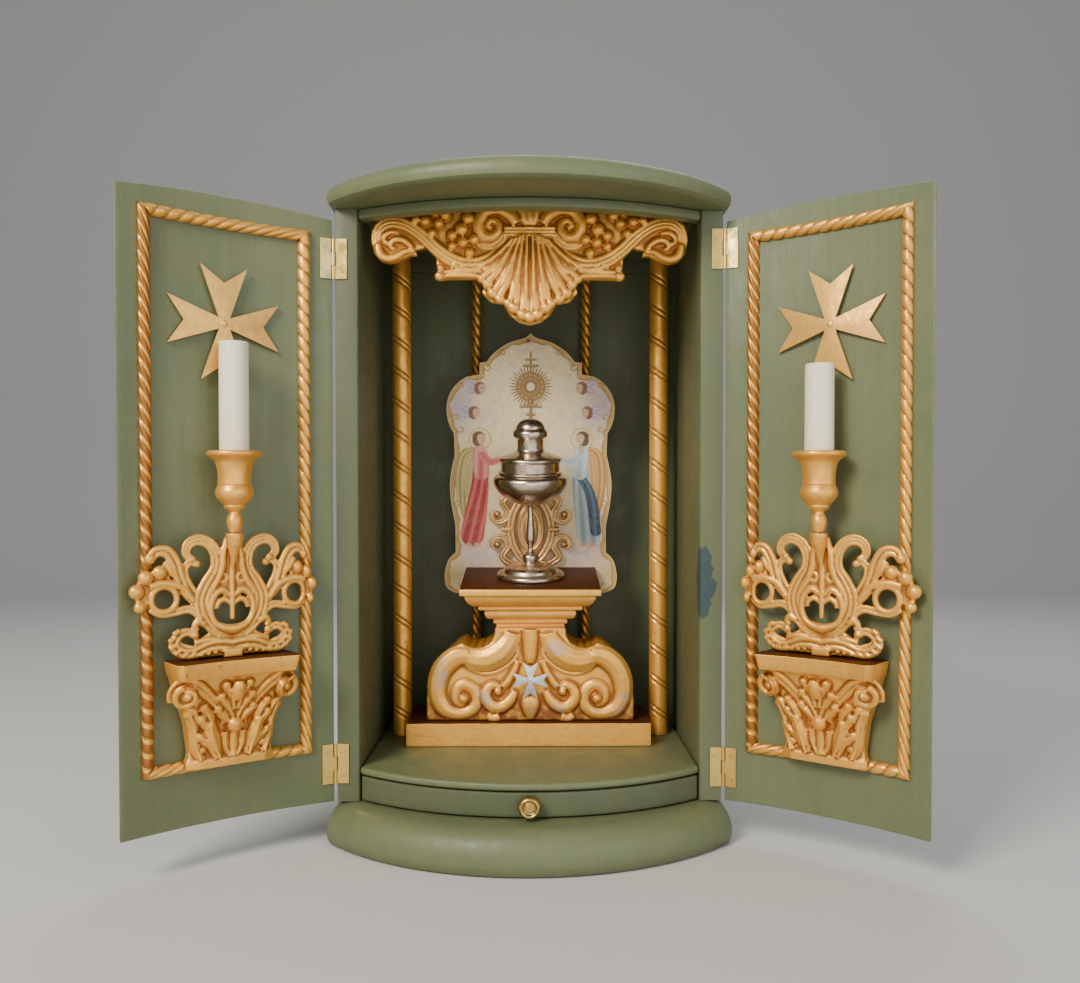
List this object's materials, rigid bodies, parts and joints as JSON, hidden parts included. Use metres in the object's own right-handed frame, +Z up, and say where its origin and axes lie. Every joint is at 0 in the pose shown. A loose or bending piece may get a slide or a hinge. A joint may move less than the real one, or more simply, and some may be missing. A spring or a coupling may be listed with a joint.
{
  "type": "viaticum tabernacle cabinet",
  "caption": "Bow-fronted painted wooden cabinet with open doors, a drawer, carved gilt fittings, candles on the doors and a covered metal vessel on a pedestal.",
  "frame": {"origin": "under the middle of the base, on the ground; front to back it lies 214 mm behind the base's foremost point", "axes": "+Z up, the front of the cabinet faces -Y, +X to the right as seen from the front"},
  "size_m": [0.642, 0.3808, 0.5795],
  "materials": {
    "sage_green_paint": "aged sage-green paint, satin, rubbed at the edges",
    "gilt_wood": "antique gold over reddish brown",
    "brass": "polished, a little dulled",
    "tarnished_silver": "dark reflective tarnished silver plate",
    "silver_leaf": "dull silver",
    "dark_varnish": "dark brown varnish",
    "wax": "cream candle wax",
    "printed_card": "printed, satin"
  },
  "bodies": {
    "cabinet": {"back_board": "sage_green_paint", "base_step": "sage_green_paint", "column_left": "gilt_wood", "column_right": "gilt_wood", "cornice_top": "sage_green_paint", "crest_carving": "gilt_wood", "floor_shelf": "sage_green_paint", "front_rail": "sage_green_paint", "pedestal_board": "gilt_wood", "pedestal_cap": "gilt_wood", "pedestal_console": "gilt_wood", "picture_card": "printed_card", "rear_column_left": "gilt_wood", "rear_column_right": "gilt_wood", "scroll_stand": "gilt_wood", "side_left": "sage_green_paint", "side_right": "sage_green_paint", "silver_cross": "silver_leaf", "stile_leaf_left_bottom": "brass", "stile_leaf_left_top": "brass", "stile_leaf_right_bottom": "brass", "stile_leaf_right_top": "brass", "vessel_bowl": "tarnished_silver", "vessel_lid": "tarnished_silver", "drawer_front": "sage_green_paint", "drawer_tray": "dark_varnish", "drawer_knob": "brass"},
    "left_door": {"door_left": "sage_green_paint", "door_cross_left": "gilt_wood", "door_leaf_left_bottom": "brass", "door_leaf_left_top": "brass", "capital_left": "gilt_wood", "scroll_left": "gilt_wood", "candle_cup_left": "gilt_wood", "candle_left": "wax", "rope_left_bottom": "gilt_wood", "rope_left_free": "gilt_wood", "rope_left_hinge": "gilt_wood", "rope_left_top": "gilt_wood"},
    "right_door": {"door_right": "sage_green_paint", "door_cross_right": "gilt_wood", "door_leaf_right_bottom": "brass", "door_leaf_right_top": "brass", "capital_right": "gilt_wood", "scroll_right": "gilt_wood", "candle_cup_right": "gilt_wood", "candle_right": "wax", "rope_right_bottom": "gilt_wood", "rope_right_free": "gilt_wood", "rope_right_hinge": "gilt_wood", "rope_right_top": "gilt_wood"}
  },
  "joints": [
    {"name": "left_door_hinge", "type": "hinge", "parent": "cabinet", "child": "left_door", "pos_m": [-0.1723, -0.1212, 0.293], "axis": [0, 0, -1], "range_deg": [-121.5, 40]},
    {"name": "right_door_hinge", "type": "hinge", "parent": "cabinet", "child": "right_door", "pos_m": [0.1723, -0.1212, 0.293], "axis": [0, 0, 1], "range_deg": [-119, 40]}
  ]
}
